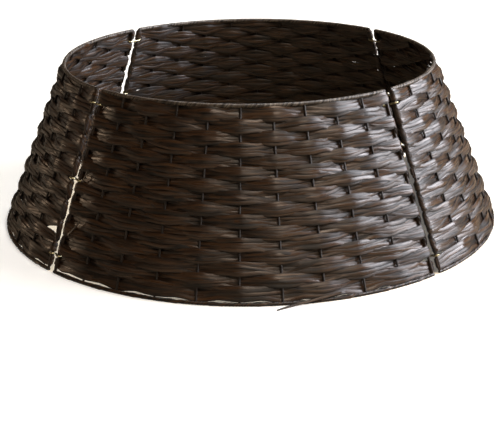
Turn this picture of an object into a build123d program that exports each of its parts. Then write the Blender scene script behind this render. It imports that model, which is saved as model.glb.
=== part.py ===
from build123d import *
import os
from math import asin, atan2, cos, degrees, pi, radians, sin

os.makedirs("parts", exist_ok=True)

# The collar: four woven quarter panels on welded wire frames, hinged into a truncated cone.
# The panels are named as seen from above with the front towards -Y, and the left and right
# of a panel as seen from outside. The origin is on the floor, on the axis of the ring.
base_radius = 354.3  # frame wires' centreline, carried down to the floor
top_radius = 260.0  # the same at the full height
height = 228.6
row_count = 16  # woven rows in a panel, the top one passing over the side rods
stake_count = 9  # upright stakes between the side rods of a panel

# Frame wires
rod_radius = 2.0  # side rods
rim_radius = 2.0  # top and bottom rods
stake_radius = 1.5
foot_flat = 0.4  # depth of the flat worn along the underside of a bottom rod
weld_gap = 0.05  # left between an upright's end and the rod that it is welded to

# Woven strands: each row is a flat bundle that opens over a stake and narrows behind one
strand_thickness = 2.4
strand_clearance = 0.3  # between a bundle and the stake that it passes
turn_clearance = 0.4  # between a bundle and the side rod that it turns round
row_gap = 1.0  # between neighbouring rows
strand_spread = 3.5  # how much a bundle opens over a stake and closes behind one
floor_gap = 5.0  # from the bottom rod up to the lowest row
rim_gap = 1.5  # from the highest row up to the top rod
seam_gap = 5.6  # clear space between two panels' turned edges

# Bent wire fittings: links on the three hinged seams and hooks on the closing seam
fitting_radius = 1.3  # wire of the links and hooks
eye_clearance = 0.08  # between an eye and the rod inside it
catch_clearance = 0.4  # between a closed hook and the rod that it holds
fitting_room = 1.0  # along a rod, between a fitting and the rows' turns on each side
hook_tip = 2.6  # straight end of a hook, past its bend
eye_turn = 270.0  # degrees of wire round a rod
hook_bend = 90.0  # degrees of bend at the far end of a hook
hook_hang = 78.2  # degrees from where its own weight leaves a hook to where it is closed

# How a row is drawn: places along one stake interval, and round a side rod
stations_per_interval = 3
turn_step = 40.0  # degrees between sections of a turn
outer_turn_steps = 5  # a row that passes outside the side rods turns right round them
inner_turn_steps = 3  # a row that passes inside them ends tucked round their edge

# What follows from the sizes above
tilt = atan2(base_radius - top_radius, height)
quarter = radians(90)
eighth = quarter / 2
interval_count = stake_count + 1
stake_offset = stake_radius + strand_clearance + strand_thickness / 2
turn_radius = rod_radius + turn_clearance + strand_thickness / 2
rod_pitch = 2 * (turn_radius + strand_thickness / 2) + seam_gap
bottom_slant = (rim_radius - foot_flat) / cos(tilt)
top_slant = (height - rim_radius) / cos(tilt)
upright_foot = bottom_slant + rim_radius + weld_gap
upright_length = top_slant - rim_radius - weld_gap - upright_foot
weave_foot = bottom_slant + rim_radius + floor_gap
weave_top = top_slant - rim_radius - rim_gap
row_pitch = (weave_top - weave_foot) / row_count
middle_breadth = row_pitch - row_gap
turn_breadth = row_pitch - 2 * (fitting_radius + fitting_room)
eye_radius = rod_radius + eye_clearance + fitting_radius
catch_radius = rod_radius + catch_clearance + fitting_radius

panel_turns = {"front": -90.0, "left": 180.0, "back": 90.0, "right": 0.0}
fitting_rows = {"lower": 1, "middle": row_count // 2, "upper": row_count - 1}


def radius_at(slant):
    return base_radius - slant * sin(tilt)


def outward(azimuth):
    return Vector(cos(azimuth), sin(azimuth), 0)


def along(azimuth):
    return Vector(-sin(azimuth), cos(azimuth), 0)


def upward(azimuth):
    # The cone's straight line at an azimuth, from the floor towards the rim
    return Vector(0, 0, cos(tilt)) - outward(azimuth) * sin(tilt)


def normal(azimuth):
    # Square to the cone, pointing out
    return Vector(0, 0, sin(tilt)) + outward(azimuth) * cos(tilt)


def on_cone(azimuth, slant, offset):
    # A place on the frame's cone, then out of it by the offset
    place = outward(azimuth) * radius_at(slant) + Vector(0, 0, slant * cos(tilt))
    return place + normal(azimuth) * offset


def on_side_rod(seam, side, slant):
    # side is 1 for the rod that follows the seam in azimuth and -1 for the one before it
    return on_cone(seam, slant, 0) + along(seam) * (side * rod_pitch / 2)


def edge_azimuth(slant):
    # Where a side rod stands at this slant, from the middle of its panel
    return eighth - atan2(rod_pitch / 2, radius_at(slant))


def stake_azimuth(number):
    edge = edge_azimuth(top_slant / 2)
    return edge * (2 * number / interval_count - 1)


def straight_rod(foot, way, radius):
    with BuildPart() as rod:
        with BuildSketch(Plane(origin=foot, z_dir=way)):
            Circle(radius)
        extrude(amount=upright_length)
    return rod.part


def rim_rod(slant):
    # An arc of round rod that covers the ends of the uprights
    reach = degrees(edge_azimuth(slant) + atan2(rod_radius, radius_at(slant)))
    with BuildPart() as rod:
        with BuildSketch(Plane.XZ):
            with Locations((radius_at(slant), slant * cos(tilt))):
                Circle(rim_radius)
        revolve(axis=Axis.Z, revolution_arc=2 * reach)
    return rod.part.rotate(Axis.Z, -reach)


def row_places(slant, outer):
    # (place, direction of the strands, breadth of the bundle) along one row, turns included.
    # outer is 1 for a row that passes outside the side rods and -1 for one that passes inside.
    edge = edge_azimuth(slant)
    stops = [-edge] + [stake_azimuth(n) for n in range(1, interval_count)] + [edge]
    count = interval_count * stations_per_interval
    route = []
    for n in range(count + 1):
        interval, part_way = divmod(n / stations_per_interval, 1)
        first = stops[int(interval)]
        last = stops[min(int(interval) + 1, interval_count)]
        from_rod = min(n, count - n, stations_per_interval) / stations_per_interval
        wave = outer * cos(pi * n / stations_per_interval)
        offset = turn_radius + (stake_offset - turn_radius) * from_rod
        open_breadth = middle_breadth + strand_spread * wave
        breadth = turn_breadth + (open_breadth - turn_breadth) * min(2 * from_rod, 1)
        azimuth = first + (last - first) * part_way
        route.append((azimuth, on_cone(azimuth, slant, offset * wave), breadth))
    places = [(route[0][0], route[0][1], along(-edge), turn_breadth)]
    for before, here, after in zip(route, route[1:], route[2:]):
        places.append((here[0], here[1], after[1] - before[1], here[2]))
    places.append((route[-1][0], route[-1][1], along(edge), turn_breadth))
    steps = outer_turn_steps if outer > 0 else inner_turn_steps
    for side in (-1, 1):
        seam = side * eighth
        centre = on_side_rod(seam, -side, slant)
        for step in range(1, steps + 1):
            turned = radians(turn_step * step)
            over = normal(seam) * outer
            spot = centre + (over * cos(turned) + along(seam) * side * sin(turned)) * turn_radius
            way = along(seam) * cos(turned) - over * side * sin(turned)
            place = (seam, spot, way, turn_breadth)
            places = [place] + places if side < 0 else places + [place]
    return places


def woven_row(slant, outer):
    with BuildPart() as row:
        for azimuth, spot, way, breadth in row_places(slant, outer):
            across = upward(azimuth).cross(way)
            with BuildSketch(Plane(origin=spot, x_dir=across, z_dir=way)):
                Rectangle(strand_thickness, breadth)
        loft(ruled=True)
    return row.part


def bent_wire(rod_foot, seam, turned, far_radius, far_bend, tip):
    # An eye round the rod at rod_foot, a straight shank on the inner side, and an eye or a
    # hook one rod pitch away. turned is the angle from lying straight across the seam.
    lean = degrees(asin((far_radius - eye_radius) / rod_pitch))
    touch = 270.0 - lean
    end = touch + far_bend
    near_x, near_y = cos(radians(touch)), sin(radians(touch))
    end_x, end_y = cos(radians(end)), sin(radians(end))
    tip_foot = (rod_pitch + far_radius * end_x, far_radius * end_y)
    tip_end = (tip_foot[0] - tip * end_y, tip_foot[1] + tip * end_x)
    across = (along(seam) * -1).rotate(Axis((0, 0, 0), upward(seam)), turned)
    with BuildPart() as wire:
        with BuildLine(Plane(origin=rod_foot, x_dir=across, z_dir=upward(seam))) as path:
            CenterArc((0, 0), eye_radius, touch - eye_turn, eye_turn)
            Line(
                (eye_radius * near_x, eye_radius * near_y),
                (rod_pitch + far_radius * near_x, far_radius * near_y),
            )
            CenterArc((rod_pitch, 0), far_radius, touch, far_bend)
            if tip:
                Line(tip_foot, tip_end)
        with BuildSketch(Plane(origin=path.line @ 0, z_dir=path.line % 0)):
            Circle(fitting_radius)
        sweep(path=path.line)
    return wire.part


# One panel is made about the +X axis, and the four are turned copies of it. The left edge of
# each panel carries the fittings of its seam, and a link's far eye holds the next right rod.
with BuildPart() as bottom_rod:
    add(rim_rod(bottom_slant))
    split(bisect_by=Plane.XY, keep=Keep.TOP)

with BuildPart() as stakes:
    for n in range(1, interval_count):
        azimuth = stake_azimuth(n)
        add(straight_rod(on_cone(azimuth, upright_foot, 0), upward(azimuth), stake_radius))

# Rows are counted from the top, so the top row is odd
with BuildPart() as odd_rows:
    for n in range(1, row_count + 1, 2):
        add(woven_row(weave_top - row_pitch * (n - 0.5), 1), clean=False)

with BuildPart() as even_rows:
    for n in range(2, row_count + 1, 2):
        add(woven_row(weave_top - row_pitch * (n - 0.5), -1), clean=False)

left_edge = -eighth
panel_pieces = {
    "top_rod": rim_rod(top_slant),
    "bottom_rod": bottom_rod.part,
    "left_rod": straight_rod(on_side_rod(left_edge, 1, upright_foot), upward(left_edge), rod_radius),
    "right_rod": straight_rod(on_side_rod(eighth, -1, upright_foot), upward(eighth), rod_radius),
    "stakes": stakes.part,
    "odd_rows": odd_rows.part,
    "even_rows": even_rows.part,
}


def write_piece(name, shape, turn):
    with BuildPart() as piece:
        add(shape, rotation=(0, 0, turn), clean=False)
    piece.part.label = name
    export_step(piece.part, f"parts/{name}.step")


for panel, turn in panel_turns.items():
    for piece, shape in panel_pieces.items():
        write_piece(f"{panel}_{piece}", shape, turn)

for level, row in fitting_rows.items():
    rod_place = on_side_rod(left_edge, 1, weave_foot + row_pitch * row)
    link = bent_wire(rod_place, left_edge, 0, eye_radius, eye_turn, 0)
    for panel in ("front", "left", "back"):
        write_piece(f"{panel}_{level}_link", link, panel_turns[panel])
    if level != "middle":
        hook = bent_wire(rod_place, left_edge, -hook_hang, catch_radius, hook_bend, hook_tip)
        write_piece(f"{level}_hook", hook, panel_turns["right"])
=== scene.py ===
import math

import bpy
import numpy as np
from mathutils import Matrix, Vector


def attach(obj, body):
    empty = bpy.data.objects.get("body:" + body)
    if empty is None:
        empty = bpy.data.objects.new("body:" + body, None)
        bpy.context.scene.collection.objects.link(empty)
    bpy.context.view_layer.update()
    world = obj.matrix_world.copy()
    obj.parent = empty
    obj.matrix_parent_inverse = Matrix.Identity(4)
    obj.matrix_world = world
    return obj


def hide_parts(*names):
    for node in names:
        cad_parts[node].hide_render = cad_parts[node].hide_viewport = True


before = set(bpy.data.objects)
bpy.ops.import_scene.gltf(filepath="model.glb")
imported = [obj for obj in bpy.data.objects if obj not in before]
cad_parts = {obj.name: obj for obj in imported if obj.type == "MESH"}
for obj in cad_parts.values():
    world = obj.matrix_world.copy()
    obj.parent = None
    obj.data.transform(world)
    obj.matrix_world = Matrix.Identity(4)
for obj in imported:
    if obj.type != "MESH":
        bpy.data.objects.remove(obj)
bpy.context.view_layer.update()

# The collar's own sizes in metres, the same as those of its solids
collar = {
    "footRadius": 0.3543,  # frame wires' centreline, carried down to the floor
    "rimRadius": 0.2600,  # the same at the full height
    "height": 0.2286,
    "rows": 16,
    "stakes": 9,
    "rodRadius": 0.0020,  # rim, foot and side rods
    "footFlat": 0.0004,  # worn along the underside of a foot rod
    "floorGap": 0.0050,  # foot rod to the lowest row
    "rimGap": 0.0015,  # highest row to the rim rod
    "rodPitch": 0.0152,  # across a seam, between two panels' side rods
    "fittingRows": (1, 8, 15),  # a link or hook sits on the side rods under each of these rows
    "hookRows": (1, 15),  # and a hook under these, in the front right seam
    "floorRest": 0.0002,  # what lies on the floor is pressed flat this far above it
}
panelTurns = {"front": -90, "left": 180, "back": 90, "right": 0}  # degrees from +X
panelSeams = {  # the seams at a panel's left and right edges
    "front": ("frontLeft", "frontRight"),
    "left": ("backLeft", "frontLeft"),
    "back": ("backRight", "backLeft"),
    "right": ("frontRight", "backRight"),
}

tilt = math.atan2(collar["footRadius"] - collar["rimRadius"], collar["height"])
sinTilt, cosTilt = math.sin(tilt), math.cos(tilt)
intervals = collar["stakes"] + 1
footSlant = (collar["rodRadius"] - collar["footFlat"]) / cosTilt
rimSlant = (collar["height"] - collar["rodRadius"]) / cosTilt
weaveFoot = footSlant + collar["rodRadius"] + collar["floorGap"]
weaveTop = rimSlant - collar["rodRadius"] - collar["rimGap"]
rowPitch = (weaveTop - weaveFoot) / collar["rows"]


def linear(hexColour):
    # An sRGB hex colour as the linear numbers that a shader takes
    parts = [int(hexColour[n : n + 2], 16) / 255 for n in (1, 3, 5)]
    return [c / 12.92 if c <= 0.04045 else ((c + 0.055) / 1.055) ** 2.4 for c in parts] + [1.0]


def addNode(tree, kind, settings=None, **links):
    # One node. Settings are its properties, and links its inputs by name, or as n0, n1 and so on by
    # number. A link is a value, a node's output, or a node for its first output.
    node = tree.nodes.new(kind)
    for name, value in (settings or {}).items():
        if name == "stops":  # of a colour ramp: positions and hex colours
            for stop, (position, hexColour) in zip(node.color_ramp.elements, value):
                stop.position, stop.color = position, linear(hexColour)
        else:
            setattr(node, name, value)
    for name, value in links.items():
        numbered = name[0] == "n" and name[1:].isdigit()
        key = int(name[1:]) if numbered else name.replace("_", " ")
        if isinstance(value, bpy.types.Node):
            value = value.outputs[0]
        if isinstance(value, bpy.types.NodeSocket):
            tree.links.new(value, node.inputs[key])
        else:
            node.inputs[key].default_value = value
    return node


def newMaterial(name):
    material = bpy.data.materials.new(name)
    material.use_nodes = True
    material.node_tree.nodes.clear()
    return material, material.node_tree


# Woven strand: extruded polyethylene, dyed right through and drawn through a grooved die.
# The fine grooves run along it, so a light smears across a strand and stays sharp along it.
strandFinish = {
    "browns": ("#150D07", "#402C1D", "#654A33"),  # dark, middle, and warm in streaks
    "rimHighlightBrowns": ("#2A221B", "#564A3F", "#A69A8C"),  # paler, a painted highlight along the rim rod
    "mottleLength": 0.07,  # metres along a strand before its shade has changed
    "mottleScale": 1.3,
    "mottleStops": (0.41, 0.59),  # noise values at which the dark and the middle brown are full
    "streaks": (14.0, 4.0),  # warm streaks in a metre of strand and round its girth
    "streakStops": (0.45, 0.75),  # noise values at which they begin and are full
    "streakShare": 0.7,
    # Painted shade: a strand's edges are darkened to this brown, standing in for the shadow between
    # neighbouring strands
    "paintedShadeBrown": "#0B0603",
    "paintedShadeLightness": 0.08,  # how light its edges still are under the painted shade between strands
    "edgePower": 1.2,  # the higher, the narrower the dark edges
    "edgeDulling": 0.3,  # and how much rougher they are
    "roughness": 0.33,
    "glossStops": (0.40, 0.60),  # noise values of the shade, and the roughness added at each:
    "glossSteps": (0.17, -0.06),  # the darker strands are the duller ones
    "ior": 1.52,
    "specularLevel": 0.7,
    "smear": 0.75,
    "smearTurn": 0.25,  # a quarter turn, for grooves that run along the strand
    "grooveSpacing": 0.0008,  # metres across a strand; real ones are half of that, too fine to show
    "grooveDepth": 0.00012,
    "grooveStrength": 0.3,
}


def makeStrandMaterial(name, darkBrown, midBrown, warmBrown):
    material, tree = newMaterial(name)
    # u is metres along a strand, and v its number plus how far round it, from 0 to 1
    uv = addNode(tree, "ShaderNodeUVMap", {"uv_map": "strand"})
    split = addNode(tree, "ShaderNodeSeparateXYZ", n0=uv)
    u, v = split.outputs[0], split.outputs[1]

    mottleU = addNode(
        tree, "ShaderNodeMath", {"operation": "DIVIDE"}, n0=u, n1=strandFinish["mottleLength"]
    )
    mottlePlace = addNode(tree, "ShaderNodeCombineXYZ", n0=mottleU, n1=v)
    mottle = addNode(
        tree, "ShaderNodeTexNoise",
        Vector=mottlePlace, Scale=strandFinish["mottleScale"], Detail=2.0,
    )
    stops = zip(strandFinish["mottleStops"], (darkBrown, midBrown))
    body = addNode(tree, "ShaderNodeValToRGB", {"stops": stops}, n0=mottle)

    streaksAlong, streaksRound = strandFinish["streaks"]
    streakU = addNode(tree, "ShaderNodeMath", {"operation": "MULTIPLY"}, n0=u, n1=streaksAlong)
    streakV = addNode(tree, "ShaderNodeMath", {"operation": "MULTIPLY"}, n0=v, n1=streaksRound)
    streakPlace = addNode(tree, "ShaderNodeCombineXYZ", n0=streakU, n1=streakV)
    streak = addNode(tree, "ShaderNodeTexNoise", Vector=streakPlace, Scale=1.0, Detail=3.0)
    begins, full = strandFinish["streakStops"]
    streakShare = addNode(
        tree, "ShaderNodeMapRange",
        n0=streak, n1=begins, n2=full, n3=0.0, n4=strandFinish["streakShare"],
    )
    streaked = addNode(
        tree, "ShaderNodeMix", {"data_type": "RGBA"},
        n0=streakShare, n6=body, n7=linear(warmBrown),
    )

    # A strand's two edges are where v is a whole or a half number
    angle = addNode(tree, "ShaderNodeMath", {"operation": "MULTIPLY"}, n0=v, n1=2 * math.pi)
    sideways = addNode(tree, "ShaderNodeMath", {"operation": "COSINE"}, n0=angle)
    squared = addNode(
        tree, "ShaderNodeMath", {"operation": "MULTIPLY"}, n0=sideways, n1=sideways
    )
    edge = addNode(
        tree, "ShaderNodeMath", {"operation": "POWER"}, n0=squared, n1=strandFinish["edgePower"]
    )
    # Painted shade: towards its edges the colour is darkened, for the shadow between strands
    paintedShadeShare = addNode(
        tree, "ShaderNodeMath", {"operation": "MULTIPLY"},
        n0=edge, n1=1 - strandFinish["paintedShadeLightness"],
    )
    withPaintedShade = addNode(
        tree, "ShaderNodeMix", {"data_type": "RGBA"},
        n0=paintedShadeShare, n6=streaked.outputs[2], n7=linear(strandFinish["paintedShadeBrown"]),
    )

    darkStop, paleStop = strandFinish["glossStops"]
    darkStep, paleStep = strandFinish["glossSteps"]
    gloss = addNode(
        tree, "ShaderNodeMapRange", n0=mottle, n1=darkStop, n2=paleStop,
        n3=strandFinish["roughness"] + darkStep, n4=strandFinish["roughness"] + paleStep,
    )
    roughness = addNode(
        tree, "ShaderNodeMath", {"operation": "MULTIPLY_ADD"},
        n0=edge, n1=strandFinish["edgeDulling"], n2=gloss,
    )

    grooves = strand["width"] * 2 / strandFinish["grooveSpacing"]  # in a strand's whole girth
    groovePhase = addNode(
        tree, "ShaderNodeMath", {"operation": "MULTIPLY"}, n0=v, n1=grooves * 2 * math.pi
    )
    groove = addNode(tree, "ShaderNodeMath", {"operation": "SINE"}, n0=groovePhase)
    bump = addNode(
        tree, "ShaderNodeBump", Strength=strandFinish["grooveStrength"],
        Distance=strandFinish["grooveDepth"], Height=groove,
    )
    tangent = addNode(
        tree, "ShaderNodeTangent", {"direction_type": "UV_MAP", "uv_map": "strand"}
    )
    surface = addNode(
        tree, "ShaderNodeBsdfPrincipled",
        Base_Color=withPaintedShade.outputs[2], Roughness=roughness, Normal=bump, Tangent=tangent,
        IOR=strandFinish["ior"], Specular_IOR_Level=strandFinish["specularLevel"],
        Anisotropic=strandFinish["smear"], Anisotropic_Rotation=strandFinish["smearTurn"],
    )
    addNode(tree, "ShaderNodeOutputMaterial", Surface=surface)
    return material


# Frame rods and stakes: drawn steel wire, dipped in brown enamel paint, which is why they shine in
# one thin line. The stakes have darker paint, painted shade from the rows round them, and are
# duller.
enamelFinish = {
    "rod": {"paint": "#2B221C", "thinPaint": "#3A2F27", "roughness": 0.33},
    # darker paint than the rods: painted shade of the rows round the stakes
    "stake": {"paint": "#1D1713", "thinPaint": "#2B2420", "roughness": 0.5},
    "ior": 1.5,
    "speckle": 0.004,  # metres from one thin spot to the next
    "speckleStops": (0.4, 0.65),  # noise values of the full and of the thin paint
    "glossStops": (0.3, 0.7),  # noise values, and the roughness added at each
    "glossSteps": (-0.05, 0.1),
    "unevenness": 0.0002,
    "unevenStrength": 0.3,
}


def makeEnamelMaterial(name, paint, thinPaint, roughness):
    material, tree = newMaterial(name)
    place = addNode(tree, "ShaderNodeTexCoord").outputs["Object"]
    speckle = addNode(
        tree, "ShaderNodeTexNoise", Vector=place, Scale=1 / enamelFinish["speckle"], Detail=4.0
    )
    stops = zip(enamelFinish["speckleStops"], (paint, thinPaint))
    colour = addNode(tree, "ShaderNodeValToRGB", {"stops": stops}, n0=speckle)
    low, high = enamelFinish["glossStops"]
    lowStep, highStep = enamelFinish["glossSteps"]
    gloss = addNode(
        tree, "ShaderNodeMapRange",
        n0=speckle, n1=low, n2=high, n3=roughness + lowStep, n4=roughness + highStep,
    )
    bump = addNode(
        tree, "ShaderNodeBump", Strength=enamelFinish["unevenStrength"],
        Distance=enamelFinish["unevenness"], Height=speckle,
    )
    surface = addNode(
        tree, "ShaderNodeBsdfPrincipled",
        Base_Color=colour, Roughness=gloss, IOR=enamelFinish["ior"], Normal=bump,
    )
    addNode(tree, "ShaderNodeOutputMaterial", Surface=surface)
    return material


# Links and hooks: zinc-plated spring wire, bright but slightly clouded
zincFinish = {
    "clouded": "#AFA47F",
    "bright": "#E0D5AE",
    "cloud": 0.003,  # metres from one cloud to the next
    "cloudStops": (0.4, 0.6),  # noise values of the clouded and of the bright zinc
    "roughness": 0.3,
    "glossStops": (0.3, 0.7),  # noise values, and the roughness added at each
    "glossSteps": (0.1, -0.05),
}


def makeZincMaterial(name):
    material, tree = newMaterial(name)
    place = addNode(tree, "ShaderNodeTexCoord").outputs["Object"]
    cloud = addNode(
        tree, "ShaderNodeTexNoise", Vector=place, Scale=1 / zincFinish["cloud"], Detail=3.0
    )
    stops = zip(zincFinish["cloudStops"], (zincFinish["clouded"], zincFinish["bright"]))
    colour = addNode(tree, "ShaderNodeValToRGB", {"stops": stops}, n0=cloud)
    low, high = zincFinish["glossStops"]
    lowStep, highStep = zincFinish["glossSteps"]
    gloss = addNode(
        tree, "ShaderNodeMapRange", n0=cloud, n1=low, n2=high,
        n3=zincFinish["roughness"] + lowStep, n4=zincFinish["roughness"] + highStep,
    )
    surface = addNode(
        tree, "ShaderNodeBsdfPrincipled", Base_Color=colour, Metallic=1.0, Roughness=gloss
    )
    addNode(tree, "ShaderNodeOutputMaterial", Surface=surface)
    return material


# The strands: each woven row is a bundle of flat strands side by side, which opens where it lies
# over a stake and turns round the side rod to come back as the next row
strand = {
    "perBundle": 7,
    "riders": 2,  # of these, one on each face of the bundle that wander across the others
    "width": 0.0058,
    "widthSpread": 0.06,  # share by which a strand can be wider or narrower
    "thickness": 0.0018,
    "riderWidth": 0.0044,
    "riderThickness": 0.0012,
    "riderLayers": (0.0009, -0.0009),
    "riderReach": 0.72,  # share of a bundle's half breadth that they wander over
    "sectionPoints": 12,
    "sectionPowers": (0.9, 1.05),  # across and through; 1 is an oval and less is squarer
    "stationsPerInterval": 10,
    "stationGather": 0.55,  # how much they gather at the stakes, below 1
    "turnStations": 9,
    # How broad a bundle is
    "openBreadth": 0.0192,  # outside a stake
    "insideBreadth": 0.0240,  # inside one, where it covers the gap between its neighbours
    "crossBreadth": 0.0158,  # halfway between two stakes, where rows cross
    "openPower": 1.15,  # above 1, it stays narrow for longer there
    "plump": 0.0006,  # how unevenly it opens
    "plumpSpacing": 1.1,  # intervals
    "rodBreadth": 0.0176,  # over a side rod
    "rodFade": (0.0, 0.286),  # where that starts to fade and how long it takes, in intervals
    # A hook swings in and out through a slot between two rows, where a bundle stays narrow for
    # longer: the same two shares there, at a panel's left (-1) or right (1) edge
    "hookSlots": {("right", -1): (0.15, 0.35), ("front", 1): (0.16, 0.20)},
    "fittingBreadth": 0.0142,  # over a side rod next to a link or a hook
    "fittingShift": 0.0018,  # how far such a bundle keeps off it
    "loopBreadth": 0.0240,  # where it turns round a side rod
    "looseLoopBreadths": {"backRight": 0.0296},  # loops that stand off the rod fan out further
    "fittingLoopBreadth": 0.0230,  # a loop next to a link or a hook
    "rimBreadth": 0.0014,  # how much broader the highest row is, up to the rim rod
    # and the lowest, down to the foot rod, at a panel's left and right edges: where it isn't, the
    # floor inside shows above the rod
    "footBreadth": {
        "front": (0.0004, 0.0022),
        "left": (0.0022, 0.0010),
        "back": (0.0006, 0.0022),
        "right": (0.0026, 0.0010),
    },
    "rimShift": 0.5,  # share of the extra breadth by which the highest row moves up
    "footShift": -0.6,  # and the lowest one down
    "broaderWidth": 50,  # how much wider that makes their strands, for each metre of it
    # Where a bundle was pulled tight beside a side rod and left a hole: its shift up there and how
    # much narrower it is
    "pulled": {("left", 13, 1): (0.0046, 0.0095), ("left", 14, 1): (-0.0034, 0.0080)},
    "pulledLength": 0.7,  # intervals
    # How it bends in and out
    "stakeOffset": 0.0034,  # its middle from the frame's cone, over a stake
    "rodOffset": 0.0027,  # and over a side rod
    "bend": (0.62, 0.90),  # how sharply it bends over a stake, below 1
    "lag": 0.07,  # how far from a stake its bend can be, in intervals
    "lagSpacing": 1.3,
    "slope": 0.10,  # it hangs lower outside a stake than inside, so rows hide the gaps between them
    # How far a loop round a side rod reaches into the seam, in the highest and the lower rows:
    # some loops are tight and some stand off the rod
    "loopReach": {
        "frontLeft": (0.0042, 0.0027),
        "backLeft": (0.0046, 0.0028),
        "backRight": (0.0036, 0.0069),
        "frontRight": (0.0027, 0.0027),
    },
    "reachRows": 2.5,  # over how many rows that changes
    "reachSpread": 0.1,  # share by which a loop can reach further or less far
    "turnDrop": 0.9,  # share of a row's pitch that a returning bundle drops while it turns
    "tuckTurns": {1: 200, -1: 120},  # degrees that its ends are tucked, from outside and inside
    # How the strands lie in it
    "layer": 0.0006,  # neighbours lie this far in and out where the bundle is narrow
    "openLayer": 0.0005,  # and over a stake
    "layerRise": 1.3,  # how soon the one becomes the other
    "crossing": 0.5,  # how often two strands change places between two stakes
    "rodGather": 0.88,  # how far the inner strands draw together over a side rod
    "crown": 0.0008,  # how much lower its edges lie over a stake
    "crownTurn": 14,  # degrees that its edge strands lean there
    "lean": 24,  # degrees that a strand can lean
    "leanSpread": 0.8,  # share of that which changes along it
    "leanSpacing": 0.05,
    "tileLean": 0.15,  # and share by which all lean one way, like tiles, to hide each other's gaps
    "flatterEdge": 0.45,  # share of it that the edge strands lose, held flat by the next rows
    # Wavers, in metres, and the spacing of their swings along a strand
    "wander": 0.0009,  # of whole rows, slowly
    "stray": 0.0002,  # of each strand in its bundle
    "straySpacing": 0.055,
    "ripple": 0.0004,  # of each strand, in and out
    "rippleSpacing": 0.009,
    "sway": 0.0005,  # of a whole bundle, in and out
    "swaySpacing": 0.024,
    "rodCalm": 0.7,  # share of them that a side rod takes away
    "waverLength": 12.0,  # longer than any bundle
    "seed": 7,
}


def outwardAt(azimuth):
    return np.stack([np.cos(azimuth), np.sin(azimuth), np.zeros_like(azimuth)], -1)


def alongAt(azimuth):
    return np.stack([-np.sin(azimuth), np.cos(azimuth), np.zeros_like(azimuth)], -1)


def upwardAt(azimuth):
    return outwardAt(azimuth) * -sinTilt + [0, 0, cosTilt]


def normalAt(azimuth):
    return outwardAt(azimuth) * cosTilt + [0, 0, sinTilt]


def radiusAt(slant):
    return collar["footRadius"] - slant * sinTilt


def onCone(azimuth, slant, offset):
    # Places on the frame's cone, at a slant height from the floor, then out of it by the offset
    place = outwardAt(azimuth) * radiusAt(slant)[..., None]
    place[..., 2] += slant * cosTilt
    return place + normalAt(azimuth) * offset[..., None]


def edgeAzimuth(slant):
    return math.pi / 4 - math.atan2(collar["rodPitch"] / 2, radiusAt(slant))


def stopsAt(slant):
    # Azimuths of the left rod, the stakes and the right rod of a panel about +X
    middle = edgeAzimuth(rimSlant / 2)
    stakes = [middle * (2 * n / intervals - 1) for n in range(1, intervals)]
    return [-edgeAzimuth(slant)] + stakes + [edgeAzimuth(slant)]


def smooth(share):
    share = np.clip(share, 0, 1)
    return share * share * (3 - 2 * share)


class Waver:
    # Smooth random numbers along a length, from -1 to 1
    def __init__(self, random, spacing, length=strand["waverLength"]):
        knots = np.arange(0, length + spacing, spacing)
        self.spacing = spacing
        self.values = random.uniform(-1, 1, len(knots))

    def at(self, places):
        share = places / self.spacing
        low = np.clip(np.floor(share).astype(int), 0, len(self.values) - 2)
        step = smooth(share - low)
        return self.values[low] * (1 - step) + self.values[low + 1] * step


def fieldOf(random):
    # A slow waver over a whole panel, alike for neighbouring rows, so that they stay side by side
    waves = [
        (
            random.uniform(6, 26),  # swings round the cone
            random.uniform(-60, 60),  # and up it
            random.uniform(0, 6.28),  # where they start
            random.uniform(0.3, 1.0),  # how strong they are
        )
        for _ in range(6)
    ]
    total = sum(strength for _, _, _, strength in waves)
    return lambda azimuth, slant: sum(
        strength * np.sin(around * azimuth + up * slant + start)
        for around, up, start, strength in waves
    ) / total


def fittingSide(row):
    # 1 for a row over a link or hook, -1 for one under it and 0 for a row that is next to none
    return int(row in collar["fittingRows"]) - int(row - 1 in collar["fittingRows"])


def bundledRows():
    # A bundle comes back as the next row, except where a link or hook sits between the two
    bundles = [[]]
    for row in range(1, collar["rows"] + 1):
        bundles[-1].append(row)
        if row in collar["fittingRows"]:
            bundles.append([])
    return bundles


def loopReachAt(seam, row):
    high, low = strand["loopReach"][seam]
    return high + (low - high) * float(smooth((row - 1) / strand["reachRows"]))


def nearRodAt(panel, row, place, fromRod):
    # From 1 over a side rod to 0 where a bundle has its form between stakes
    edge = -1 if place < intervals / 2 else 1
    besideHook = row in collar["hookRows"] or row - 1 in collar["hookRows"]
    slot = strand["hookSlots"].get((panel, edge)) if besideHook else None
    start, fade = slot or strand["rodFade"]
    return 1 - float(smooth((fromRod - start) / fade))


def broaderAt(panel, row, place):
    # How much broader the highest and the lowest row are, to reach the rim and the foot rods
    if row == 1:
        return strand["rimBreadth"]
    if row == collar["rows"]:
        left, right = strand["footBreadth"][panel]
        return left + (right - left) * float(smooth(place / intervals))
    return 0.0


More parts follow.
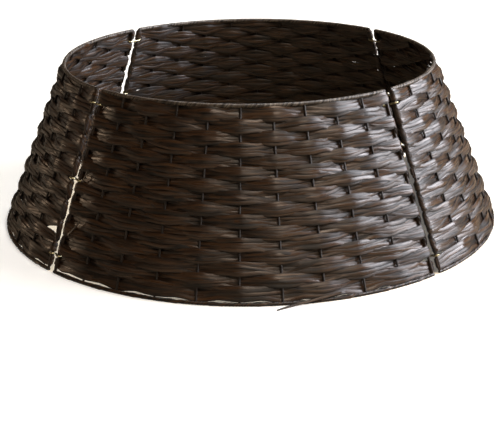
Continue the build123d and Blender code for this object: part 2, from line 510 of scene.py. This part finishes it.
def rowStations(panel, row, comesBack, goesOn, knot, plump, lag, bend):
    # Stations of one row from the left to the right side rod: where the bundle is, and how broad
    # and how deep it lies. Odd rows pass outside the side rods and even rows inside them.
    outer = 1 if row % 2 else -1
    slant = weaveTop - rowPitch * (row - 0.5)
    stops = stopsAt(slant)
    rodBreadth = strand["fittingBreadth"] if fittingSide(row) else strand["rodBreadth"]
    aside = strand["fittingShift"] * fittingSide(row)
    drop = rowPitch * (1 - strand["turnDrop"]) / 2
    stations = []
    for n in range(intervals * strand["stationsPerInterval"] + 1):
        even = n / strand["stationsPerInterval"]
        place = even - strand["stationGather"] * math.sin(2 * math.pi * even) / (2 * math.pi)
        interval = min(int(place), intervals - 1)
        azimuth = stops[interval] + (stops[interval + 1] - stops[interval]) * (place - interval)
        fromRod = min(place, intervals - place, 1.0)
        bent = place + strand["lag"] * fromRod * float(lag.at(place))
        wave = outer * math.asin(bend * math.cos(math.pi * bent)) / math.asin(bend)
        offset = strand["rodOffset"] + (strand["stakeOffset"] - strand["rodOffset"]) * fromRod
        depth = offset * wave

        nearRod = nearRodAt(panel, row, place, fromRod)
        broader = broaderAt(panel, row, place)
        opened = strand["openBreadth"] if wave > 0 else strand["insideBreadth"]
        opening = (opened - strand["crossBreadth"]) * abs(wave) ** strand["openPower"]
        breadth = strand["crossBreadth"] + opening
        breadth = breadth + strand["plump"] * float(plump.at(place)) * abs(wave)
        breadth = breadth + (rodBreadth - breadth) * nearRod + broader

        edgeShift = strand["rimShift"] if row == 1 else strand["footShift"]
        slope = strand["slope"] * depth * (1 - nearRod)
        shift = aside * nearRod + broader * edgeShift - slope
        # A row that goes on into the next one already slopes towards it in its last interval
        run = place if outer > 0 else intervals - place
        if goesOn and intervals - run < 1:
            shift -= drop * float(smooth(1 - (intervals - run)))
        if comesBack and run < 1:
            shift += drop * float(smooth(1 - run))
        for side, away in ((-1, place), (1, intervals - place)):
            lifted, narrower = strand["pulled"].get((panel, row, side), (0.0, 0.0))
            shift += lifted * float(smooth(1 - away / strand["pulledLength"]))
            breadth -= narrower * float(smooth(1 - away / strand["pulledLength"]))
        stations.append({
            "azimuth": azimuth,
            "slant": slant + shift,
            "depth": depth,
            "wave": wave * (1 - nearRod),
            "breadth": breadth,
            "way": outer,
            "turn": 0.0,
            "side": 0,
            "rod": 1 - fromRod,
            "reach": 0.0,
            "knot": knot + run,
            "width": 1 + max(broader, 0) * strand["broaderWidth"],
        })
    return stations


def bundleRoute(rows, panel, random):
    # Stations of one bundle through consecutive rows and the loops between them
    stations = []
    for step, row in enumerate(rows):
        way = 1 if row % 2 else -1  # odd rows run to the right, even rows back
        first, last = row == rows[0], row == rows[-1]
        plump = Waver(random, strand["plumpSpacing"], intervals)
        lag = Waver(random, strand["lagSpacing"], intervals)
        bend = random.uniform(*strand["bend"])
        route = rowStations(
            panel, row, not first, not last, step * intervals, plump, lag, bend
        )
        if way < 0:
            route.reverse()
        seams = dict(zip((-1, 1), panelSeams[panel]))
        reach = {
            side: loopReachAt(seam, row) * (1 + strand["reachSpread"] * random.uniform(-1, 1))
            for side, seam in seams.items()
        }

        def loopStation(near, turn, side, fall):
            # A bundle's own ends are only tucked in, without a fall, and stay narrow
            around = math.sin(abs(turn)) if fall else 0.0
            breadth = strand["looseLoopBreadths"].get(seams[side], strand["loopBreadth"])
            if fittingSide(row) or fittingSide(row + 1):
                breadth = strand["fittingLoopBreadth"]
            breadth = near["breadth"] + (breadth - near["breadth"]) * around
            slant = near["slant"] - fall
            return dict(
                near, turn=turn, side=side, breadth=breadth, slant=slant, reach=reach[side]
            )

        count = strand["turnStations"]
        tuckTurn = math.radians(strand["tuckTurns"][way])
        if first:
            for k in range(count, 0, -1):
                stations.append(loopStation(route[0], -tuckTurn * k / count, -way, 0.0))
        stations += route
        if last:
            for k in range(1, count + 1):
                stations.append(loopStation(route[-1], tuckTurn * k / count, way, 0.0))
        else:
            # The next row starts lower by a pitch, less what each has sloped and kept off a fitting
            aside = strand["fittingShift"] * fittingSide(row)
            nextAside = strand["fittingShift"] * fittingSide(row + 1)
            fall = rowPitch * strand["turnDrop"] + aside - nextAside
            for k in range(1, count + 1):
                share = k / (count + 1)
                stations.append(loopStation(route[-1], math.pi * share, way, fall * share))
    return {key: np.array([s[key] for s in stations], float) for key in stations[0]}


def placesInBundle(random, knots):
    # Which place each strand of a bundle takes at each stake, from -1 lowest to 1 highest. Now and
    # then two neighbours change places, and the riders go where they like.
    count = strand["perBundle"] - strand["riders"]
    order = list(range(count))
    places = [list(order)]
    for _ in range(knots):
        if random.uniform() < strand["crossing"]:
            at = random.integers(1, count - 2)  # the outermost two stay
            order = [at * 2 + 1 - n if n in (at, at + 1) else n for n in order]
        places.append(list(order))
    places = np.array(places) / (count - 1) * 2 - 1
    reach = strand["riderReach"]
    riders = random.uniform(-reach, reach, (knots + 1, strand["riders"]))
    # Over a side rod they spread to cover it
    atRod = np.arange(knots + 1) % intervals == 0
    places[atRod] *= np.where(np.abs(places[atRod]) < 0.9, strand["rodGather"], 1.0)
    riders[atRod] = (-reach, reach)
    return np.concatenate([places, riders], 1)


def ringsAlong(centre, outFace, width, thickness):
    # The rings of points of a flat strand whose middle line and face are given
    tangent = np.gradient(centre, axis=0)
    tangent /= np.linalg.norm(tangent, axis=1)[:, None]
    thick = outFace - tangent * (outFace * tangent).sum(1)[:, None]
    thick /= np.linalg.norm(thick, axis=1)[:, None]
    wide = np.cross(tangent, thick)
    # Its section has crowned faces and round edges
    angles = np.arange(strand["sectionPoints"]) / strand["sectionPoints"] * 2 * math.pi
    acrossPower, throughPower = strand["sectionPowers"]
    across = np.sign(np.cos(angles)) * np.abs(np.cos(angles)) ** acrossPower / 2
    through = np.sign(np.sin(angles)) * np.abs(np.sin(angles)) ** throughPower / 2
    width = np.broadcast_to(width, len(centre))[:, None, None]
    sideways = wide[:, None] * across[None, :, None] * width
    return centre[:, None] + sideways + thick[:, None] * through[None, :, None] * thickness


def strandRings(route, places, number, random, field, sway):
    # The rings of points of one strand of a bundle along its route
    knot = np.clip(route["knot"], 0, len(places) - 1.001)  # just short of the last one
    before = np.floor(knot).astype(int)
    part = smooth(knot - before)
    share = places[before, number] * (1 - part) + places[before + 1, number] * part

    # The bundle's middle, along its wall and round the side rods, and the way that its face looks
    azimuth, way = route["azimuth"], route["way"]
    face = normalAt(azimuth) * way[:, None]
    seamward = alongAt(azimuth) * route["side"][:, None]
    upward = upwardAt(azimuth)
    wall = onCone(azimuth, route["slant"], np.zeros_like(azimuth))
    turned = route["turn"] != 0
    turnCos = np.cos(route["turn"])[:, None]
    turnSin = np.sin(np.abs(route["turn"]))[:, None]
    outFace = np.where(turned[:, None], face * turnCos + seamward * turnSin, face)
    middle = wall + normalAt(azimuth) * route["depth"][:, None]
    reach = seamward * turnSin * route["reach"][:, None]
    middle[turned] = (wall + (face * turnCos * strand["rodOffset"] + reach))[turned]
    steps = np.linalg.norm(np.diff(middle, axis=0), axis=1)
    length = np.concatenate([[0], np.cumsum(steps)])

    rider = number - (strand["perBundle"] - strand["riders"])  # 0 or more for a rider
    width = strand["riderWidth"] if rider >= 0 else strand["width"]
    width = width * (1 + strand["widthSpread"] * random.uniform(-1, 1))
    thickness = strand["riderThickness"] if rider >= 0 else strand["thickness"]
    calm = 1 - strand["rodCalm"] * route["rod"]

    # Up and down in the wall
    stray = Waver(random, strand["straySpacing"]).at(length) * strand["stray"] * calm
    aside = share * (route["breadth"] - width) / 2 + stray
    aside = aside + field(azimuth, route["slant"]) * strand["wander"] * calm

    # In and out of it
    opening = strand["openBreadth"] - strand["crossBreadth"]
    narrow = np.clip(1 - (route["breadth"] - strand["crossBreadth"]) / opening, 0, 1)
    openShare = strand["openLayer"] / strand["layer"]
    layered = openShare + (1 - openShare) * np.clip(narrow * strand["layerRise"], 0, 1)
    if rider >= 0:
        layer = strand["riderLayers"][rider] * way
    else:
        layer = strand["layer"] * (1 if number % 2 else -1) * layered
    ripple = Waver(random, strand["rippleSpacing"]).at(length) * strand["ripple"]
    lift = (ripple + sway.at(length) * strand["sway"]) * calm
    lift = lift - strand["crown"] * route["wave"] * way * share * share

    # And how far it leans
    roll = np.radians(strand["crownTurn"]) * route["wave"] * share * way
    lean = np.radians(strand["lean"] * (1 - strand["flatterEdge"] * np.abs(share)))
    leaning = strand["leanSpread"] * Waver(random, strand["leanSpacing"]).at(length)
    roll = roll + lean * (leaning - strand["tileLean"] * way) * calm
    centre = middle + upward * aside[:, None] + outFace * (layer + lift)[:, None]
    leant = outFace * np.cos(roll)[:, None] + upward * np.sin(roll)[:, None]
    return ringsAlong(centre, leant, width * route["width"], thickness), length


def meshOfRings(name, tubes):
    # One mesh of closed tubes, each given as its rings of points, its lengths and its number
    vertices, faces, uvs, caps = [], [], [], []
    start = 0
    for rings, length, number in tubes:
        stations, points = rings.shape[:2]
        vertices.append(rings.reshape(-1, 3))
        i, j = np.meshgrid(np.arange(stations - 1), np.arange(points), indexing="ij")
        i, j = i.ravel(), j.ravel()
        after = (j + 1) % points
        here, ahead = i * points, (i + 1) * points
        faces.append(np.stack([here + j, here + after, ahead + after, ahead + j], 1) + start)
        u = np.stack([length[i], length[i], length[i + 1], length[i + 1]], 1)
        v = number + np.stack([j, j + 1, j + 1, j], 1) / points
        uvs.append(np.stack([u, v], -1).reshape(-1, 2))
        ring = np.arange(points)
        caps.append((ring[::-1] + start, length[0], number))
        caps.append((ring + start + (stations - 1) * points, length[-1], number))
        start += stations * points
    for cap, place, number in caps:
        v = number + np.arange(len(cap)) / len(cap)
        uvs.append(np.stack([np.full(len(cap), place), v], 1))
    quads = np.concatenate(faces)
    corners = np.concatenate([quads.ravel()] + [cap for cap, _, _ in caps])
    totals = np.concatenate([np.full(len(quads), 4), [len(cap) for cap, _, _ in caps]])
    starts = np.concatenate([[0], np.cumsum(totals)[:-1]])
    mesh = bpy.data.meshes.new(name)
    mesh.vertices.add(start)
    mesh.vertices.foreach_set("co", np.concatenate(vertices).astype(np.float32).ravel())
    mesh.loops.add(len(corners))
    mesh.loops.foreach_set("vertex_index", corners.astype(np.int32))
    mesh.polygons.add(len(totals))
    mesh.polygons.foreach_set("loop_start", starts.astype(np.int32))
    mesh.polygons.foreach_set("use_smooth", np.arange(len(totals)) < len(quads))
    layer = mesh.uv_layers.new(name="strand")
    layer.uv.foreach_set("vector", np.concatenate(uvs).astype(np.float32).ravel())
    mesh.update(calc_edges=True)
    mesh.validate()
    thing = bpy.data.objects.new(name, mesh)
    bpy.context.scene.collection.objects.link(thing)
    return thing


# Lashings: a narrow strand wound round the rim and foot rods, most tightly at the stakes
lashing = {
    "rim": {"turns": 5, "gather": 0.35, "width": 0.0040},  # turns in one interval between stakes
    "foot": {"turns": 3, "gather": 0.8, "width": 0.0042},  # gather: how much they do at the stakes
    "thickness": 0.0006,
    "rodGap": 0.00005,
    "endGap": 0.02,  # intervals left free at a rod's ends
    "slip": 0.5,  # radians by which a turn can be early or late
    "slipSpacing": 0.03,
    "stationsPerTurn": 12,
}


def lashingRings(slant, start, random, turns, gather, width):
    count = intervals * turns * lashing["stationsPerTurn"]
    place = np.linspace(lashing["endGap"], intervals - lashing["endGap"], count)
    azimuth = np.interp(place, np.arange(intervals + 1), stopsAt(slant))
    length = azimuth * radiusAt(slant)
    gathered = place + gather * np.sin(2 * math.pi * place) / (2 * math.pi)
    angle = start + 2 * math.pi * turns * gathered
    slip = Waver(random, lashing["slipSpacing"]).at(length - length[0])
    angle = angle + lashing["slip"] * slip
    face = outwardAt(azimuth) * np.cos(angle)[:, None]
    face[:, 2] = np.sin(angle)
    axis = onCone(azimuth, np.full(count, slant), np.zeros(count))
    away = collar["rodRadius"] + lashing["thickness"] / 2 + lashing["rodGap"]
    rings = ringsAlong(axis + face * away, face, width, lashing["thickness"])
    rings[..., 2] = np.maximum(rings[..., 2], collar["floorRest"])
    return rings, length - length[0] + angle * collar["rodRadius"]


# Loose ends of strands that stick out of the weave
looseEnd = {
    "width": 0.0036,
    "thickness": 0.0007,
    "taper": 0.45,  # share of its width that its tip has lost
    "taperPower": 3,  # the higher, the nearer the tip that starts
    "curl": 0.5,  # how far its face turns up towards the tip
    "stations": 18,
    # Where each starts, bends and ends: azimuth from the panel's middle in degrees, slant height,
    # and distance out of the frame's cone
    "front": [
        ((21.5, 0.0092, 0.0044), (12.8, 0.0018, 0.0058), (7.2, -0.0052, 0.0148)),
        ((-42.2, 0.0535, 0.0035), (-40.6, 0.0630, 0.0052), (-38.6, 0.0765, 0.0070)),
        ((-42.0, 0.1250, 0.0035), (-41.0, 0.1320, 0.0050), (-40.6, 0.1420, 0.0058)),
    ],
    "left": [((30.0, 0.0300, 0.0035), (33.0, 0.0345, 0.0060), (36.5, 0.0370, 0.0075))],
    "back": [((-12.0, 0.0900, 0.0035), (-15.0, 0.0930, 0.0055), (-18.0, 0.0985, 0.0078))],
    "right": [((8.0, 0.0460, 0.0035), (11.0, 0.0430, 0.0055), (14.0, 0.0370, 0.0082))],
}


def looseEndRings(start, middle, tip):
    t = np.linspace(0, 1, looseEnd["stations"])[:, None]
    a, b, c = (np.array(p) * [math.pi / 180, 1, 1] for p in (start, middle, tip))
    bend = 2 * b - (a + c) / 2  # so that the curve passes through the middle
    curve = a * (1 - t) ** 2 + bend * 2 * t * (1 - t) + c * t * t
    azimuth, slant, depth = curve.T
    centre = onCone(azimuth, slant, depth)
    width = looseEnd["width"] * (1 - looseEnd["taper"] * t[:, 0] ** looseEnd["taperPower"])
    face = normalAt(azimuth) + upwardAt(azimuth) * (looseEnd["curl"] * t)
    rings = ringsAlong(centre, face, width, looseEnd["thickness"])
    rings[..., 2] = np.maximum(rings[..., 2], collar["floorRest"])
    steps = np.linalg.norm(np.diff(centre, axis=0), axis=1)
    return rings, np.concatenate([[0], np.cumsum(steps)])


strandMaterial = makeStrandMaterial("extrudedPolyethyleneStrand", *strandFinish["browns"])
# The rim lashing is paler than the other strands: a painted highlight along the rim
rimHighlightMaterial = makeStrandMaterial("paintedHighlightRimStrand", *strandFinish["rimHighlightBrowns"])
rodMaterial = makeEnamelMaterial("enamelledSteelRod", **enamelFinish["rod"])
shadeDarkenedStakeMaterial = makeEnamelMaterial("shadeDarkenedSteelStake", **enamelFinish["stake"])
zincMaterial = makeZincMaterial("zincPlatedWire")
print("materials made")

# Every tube has a number, which gives it shades of its own, and a bundle's parts lie apart on the
# length that the shades run along
tubeNumbers = {"perPanel": 10, "firstLashing": 20, "firstLooseEnd": 60, "partSpacing": 5}


def finishWovenPiece(name, panel, tubes, material):
    # The tubes are made about +X, then turned to their panel
    turn = math.radians(panelTurns[panel])
    cosTurn, sinTurn = math.cos(turn), math.sin(turn)
    spin = np.array([[cosTurn, -sinTurn, 0], [sinTurn, cosTurn, 0], [0, 0, 1]])
    piece = meshOfRings(name, [(rings @ spin.T, length, number) for rings, length, number in tubes])
    piece.data.materials.append(material)
    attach(piece, f"{panel}_panel")
    return piece


looseEndNumber = tubeNumbers["firstLooseEnd"]
for order, panel in enumerate(panelTurns):
    random = np.random.default_rng(strand["seed"] + order)
    field = fieldOf(random)
    bundles = bundledRows()
    routes = [bundleRoute(rows, panel, random) for rows in bundles]
    sways = [Waver(random, strand["swaySpacing"]) for rows in bundles]
    places = [placesInBundle(random, len(rows) * intervals) for rows in bundles]
    firstNumber = order * tubeNumbers["perPanel"]
    for number in range(strand["perBundle"]):
        tubes = []
        for part, route in enumerate(routes):
            rings, length = strandRings(route, places[part], number, random, field, sways[part])
            length = length + part * tubeNumbers["partSpacing"]
            tubes.append((rings, length, number + firstNumber))
        piece = finishWovenPiece(f"{panel}_strand_{number + 1}", panel, tubes, strandMaterial)
        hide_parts(f"{panel}_odd_rows", f"{panel}_even_rows")
    for end, slant, material in (
        ("rim", rimSlant, rimHighlightMaterial), ("foot", footSlant, strandMaterial)
    ):
        tubes = []
        for n, start in enumerate((0.0, math.pi)):
            rings, length = lashingRings(slant, start, random, **lashing[end])
            tubes.append((rings, length, tubeNumbers["firstLashing"] + firstNumber + n))
        finishWovenPiece(f"{panel}_{end}_lashing", panel, tubes, material)
    for n, points in enumerate(looseEnd[panel]):
        tube = (*looseEndRings(*points), looseEndNumber)
        finishWovenPiece(f"{panel}_loose_end_{n + 1}", panel, [tube], strandMaterial)
        looseEndNumber += 1
strandPieces = strand["perBundle"] * len(panelTurns)
print("strands woven:", strandPieces, "bundled pieces, with lashings and loose ends")

for name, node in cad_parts.items():
    if name.endswith("_rows"):
        continue
    if name.endswith(("_link", "_hook")):
        finish = zincMaterial
    elif name.endswith("_stakes"):
        finish = shadeDarkenedStakeMaterial
    else:
        finish = rodMaterial
    node.data.materials.clear()
    node.data.materials.append(finish)
print("wires finished")

# The floor and what is behind it: pale matt board, which shows no reflections
stage = {
    "floorReach": 30.0,
    "floorDrop": 0.0001,  # so that it doesn't touch the collar's underside
    "floorColour": "#998C76",  # as it lights the collar
    "floorSeen": "#DDD8CD",  # and as it looks to the eye
    "floorWithin": "#EBDDC0",  # but warmer inside the collar, where holes and seams show it
    "withinEdge": (-0.004, 0.008),  # metres from the foot radius between which it changes
    "floorWhite": 0.68,  # how much whiter it looks round the collar, to the eye alone
    "paintedGlowWithin": 0.16,  # share of that whiteness inside the collar: a glow, painted light on the floor seen through holes and seams
    "floorFar": (0.9, 2.4),  # metres from the axis between which it turns fully white
    "skyColour": "#ECCFAC",
    "skyStrength": 0.03,
    "backdropColour": "#FFFFFF",
    "backdropTop": (0.2, 0.35),  # heights between which the backdrop ends, on a sphere of radius 1
    "glossyShare": 0.04,  # how much of its whiteness shiny things see
}


def seenRay(tree):
    # 1 for rays that come from the eye, directly or through something clear, and a small share for
    # those from shiny things
    path = addNode(tree, "ShaderNodeLightPath")
    glossy = addNode(
        tree, "ShaderNodeMath", {"operation": "MULTIPLY"},
        n0=path.outputs["Is Glossy Ray"], n1=stage["glossyShare"],
    )
    seen = addNode(
        tree, "ShaderNodeMath", {"operation": "MAXIMUM"},
        n0=path.outputs["Is Camera Ray"], n1=glossy,
    )
    return addNode(
        tree, "ShaderNodeMath", {"operation": "MAXIMUM"},
        n0=seen, n1=path.outputs["Is Transmission Ray"],
    )


def makeFloor():
    reach = stage["floorReach"]
    corners = [(-reach, -reach, 0), (reach, -reach, 0), (reach, reach, 0), (-reach, reach, 0)]
    mesh = bpy.data.meshes.new("floor")
    mesh.from_pydata(corners, [], [(0, 1, 2, 3)])
    floor = bpy.data.objects.new("floor", mesh)
    floor.location.z = -stage["floorDrop"]
    bpy.context.scene.collection.objects.link(floor)
    material, tree = newMaterial("paleMattBoard")
    seen = seenRay(tree)
    place = addNode(tree, "ShaderNodeTexCoord").outputs["Object"]
    radius = addNode(tree, "ShaderNodeVectorMath", {"operation": "LENGTH"}, n0=place)
    inner, outer = (collar["footRadius"] + step for step in stage["withinEdge"])
    beyond = addNode(
        tree, "ShaderNodeMapRange", {"interpolation_type": "SMOOTHSTEP"},
        n0=radius.outputs["Value"], n1=inner, n2=outer, n3=0.0, n4=1.0,
    )
    near, far = stage["floorFar"]
    whiter = addNode(
        tree, "ShaderNodeMapRange", {"interpolation_type": "SMOOTHSTEP"},
        n0=radius.outputs["Value"], n1=near, n2=far, n3=stage["floorWhite"], n4=1.0,
    )
    toEye = addNode(
        tree, "ShaderNodeMix", {"data_type": "RGBA"},
        n0=beyond, n6=linear(stage["floorWithin"]), n7=linear(stage["floorSeen"]),
    )
    shade = addNode(
        tree, "ShaderNodeMix", {"data_type": "RGBA"},
        n0=seen, n6=linear(stage["floorColour"]), n7=toEye.outputs[2],
    )
    matt = addNode(tree, "ShaderNodeBsdfDiffuse", Color=shade.outputs[2])
    # Inside the collar the glow is painted light, lightening the floor seen through holes and seams
    glowShare = addNode(tree, "ShaderNodeMapRange", n0=beyond, n3=stage["paintedGlowWithin"], n4=1.0)
    glowing = addNode(
        tree, "ShaderNodeMath", {"operation": "MULTIPLY"}, n0=glowShare, n1=whiter
    )
    strength = addNode(tree, "ShaderNodeMath", {"operation": "MULTIPLY"}, n0=glowing, n1=seen)
    glow = addNode(tree, "ShaderNodeEmission", Strength=strength)
    both = addNode(tree, "ShaderNodeAddShader", n0=matt, n1=glow)
    addNode(tree, "ShaderNodeOutputMaterial", Surface=both)
    mesh.materials.append(material)


def makeWorld():
    world = bpy.data.worlds.new("studio")
    bpy.context.scene.world = world
    world.use_nodes = True
    tree = world.node_tree
    tree.nodes.clear()
    place = addNode(tree, "ShaderNodeTexCoord").outputs["Generated"]
    height = addNode(tree, "ShaderNodeSeparateXYZ", n0=place).outputs[2]
    starts, ends = stage["backdropTop"]
    low = addNode(
        tree, "ShaderNodeMapRange", {"interpolation_type": "SMOOTHSTEP"},
        n0=height, n1=starts, n2=ends, n3=1.0, n4=0.0,
    )
    share = addNode(tree, "ShaderNodeMath", {"operation": "MULTIPLY"}, n0=low, n1=seenRay(tree))
    room = addNode(
        tree, "ShaderNodeBackground",
        Color=linear(stage["skyColour"]), Strength=stage["skyStrength"],
    )
    backdrop = addNode(
        tree, "ShaderNodeBackground", Color=linear(stage["backdropColour"]), Strength=1.0
    )
    both = addNode(tree, "ShaderNodeMixShader", n0=share, n1=room, n2=backdrop)
    addNode(tree, "ShaderNodeOutputWorld", Surface=both)


# Lamps: round soft boxes that all look at the collar's middle from the same distance.
# Azimuths are degrees from +X towards +Y.
lampDistance = 2.4
lamps = {
    "keyLamp": {"power": 121.0, "size": 1.9, "azimuth": 2, "elevation": 30, "colour": "#F4F6FF"},
    "sideLamp": {"power": 22.5, "size": 1.2, "azimuth": -62, "elevation": 52, "colour": "#FFEDD8"},
    "lowLamp": {"power": 3.8, "size": 0.5, "azimuth": 168, "elevation": 5, "colour": "#FFDCB8"},
    "backLamp": {"power": 19.0, "size": 0.9, "azimuth": 70, "elevation": 55, "colour": "#FFFDF8"},
}


def addLamp(name, power, size, azimuth, elevation, colour):
    lamp = bpy.data.lights.new(name, "AREA")
    lamp.shape, lamp.size, lamp.energy = "DISK", size, power
    lamp.color = linear(colour)[:3]
    thing = bpy.data.objects.new(name, lamp)
    a, e = math.radians(azimuth), math.radians(elevation)
    away = Vector((math.cos(a) * math.cos(e), math.sin(a) * math.cos(e), math.sin(e)))
    thing.location = away * lampDistance + Vector((0, 0, collar["height"] / 2))
    thing.rotation_euler = away.to_track_quat("Z", "Y").to_euler()
    thing.visible_camera = False
    bpy.context.scene.collection.objects.link(thing)


# The camera, in metres and degrees: it stands away from the target by its azimuth, towards +X from
# straight in front, and its elevation, and aims a little past it
camera = {
    "lens": 88.94,
    "sensor": 36.0,
    "target": (0, 0, 0.1143),
    "distance": 1.8015,
    "azimuth": 2.4,
    "elevation": 16.64,
    "aimAzimuth": 2.423,
    "aimElevation": 20.40,
    "roll": -0.563,
}


def backAt(azimuth, elevation):
    a, e = math.radians(azimuth), math.radians(elevation)
    return Vector((math.sin(a) * math.cos(e), -math.cos(a) * math.cos(e), math.sin(e)))


def makeCamera():
    data = bpy.data.cameras.new("camera")
    data.lens, data.sensor_width = camera["lens"], camera["sensor"]
    thing = bpy.data.objects.new("camera", data)
    bpy.context.scene.collection.objects.link(thing)
    back = backAt(camera["aimAzimuth"], camera["aimElevation"])
    right = Vector((0, 0, 1)).cross(back).normalized()
    up = back.cross(right)
    roll = math.radians(camera["roll"])
    rolledRight = right * math.cos(roll) + up * math.sin(roll)
    rolledUp = up * math.cos(roll) - right * math.sin(roll)
    turn = Matrix((rolledRight, rolledUp, back)).transposed()
    away = backAt(camera["azimuth"], camera["elevation"]) * camera["distance"]
    thing.matrix_world = Matrix.Translation(Vector(camera["target"]) + away) @ turn.to_4x4()
    bpy.context.scene.camera = thing


makeFloor()
makeWorld()
for name, values in lamps.items():
    addLamp(name, **values)
makeCamera()
bpy.context.scene.view_settings.view_transform = "Standard"
print("stage, lamps and camera set")
